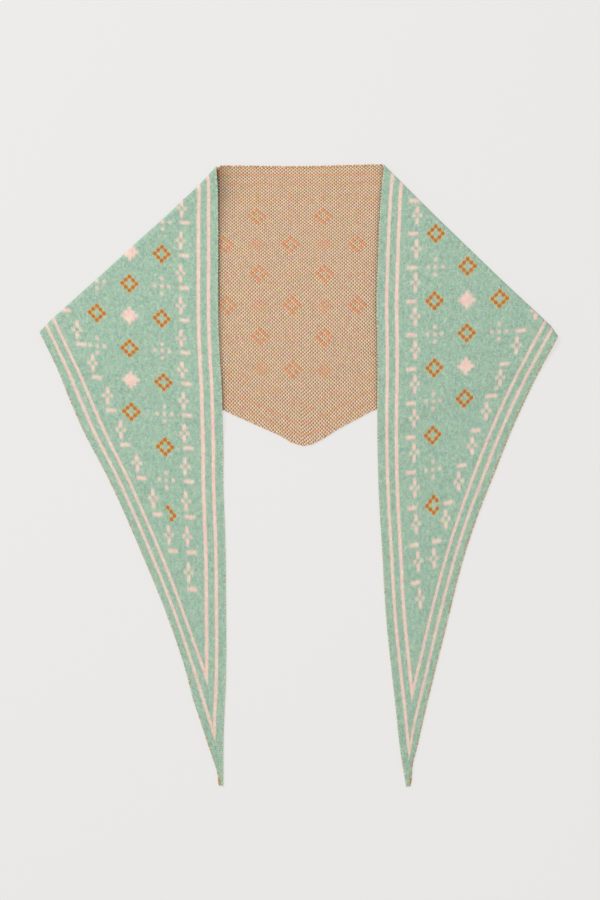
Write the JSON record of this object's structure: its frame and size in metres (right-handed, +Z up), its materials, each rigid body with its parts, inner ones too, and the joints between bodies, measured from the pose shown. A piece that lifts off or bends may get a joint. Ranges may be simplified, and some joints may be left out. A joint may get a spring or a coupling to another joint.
{
  "type": "triangle shawl",
  "caption": "Long triangular double-knit shawl laid flat, both ends folded forward over slanting folds and hanging down to narrow points.",
  "frame": {"origin": "middle of the laid shawl's box, on the surface that it rests on", "axes": "+Y from the points towards the folded long edge, +X to the right seen from above, +Z up from the surface"},
  "size_m": [0.6268, 0.7532, 0.0072],
  "materials": {
    "right_side_knit": "matte mint melange double knit with blush and ochre motifs",
    "wrong_side_knit": "matte birdseye backing in mint, blush and ochre"
  },
  "bodies": {
    "root": {"centre_panel": "wrong_side_knit", "left_end": "right_side_knit", "right_end": "right_side_knit"}
  },
  "joints": []
}
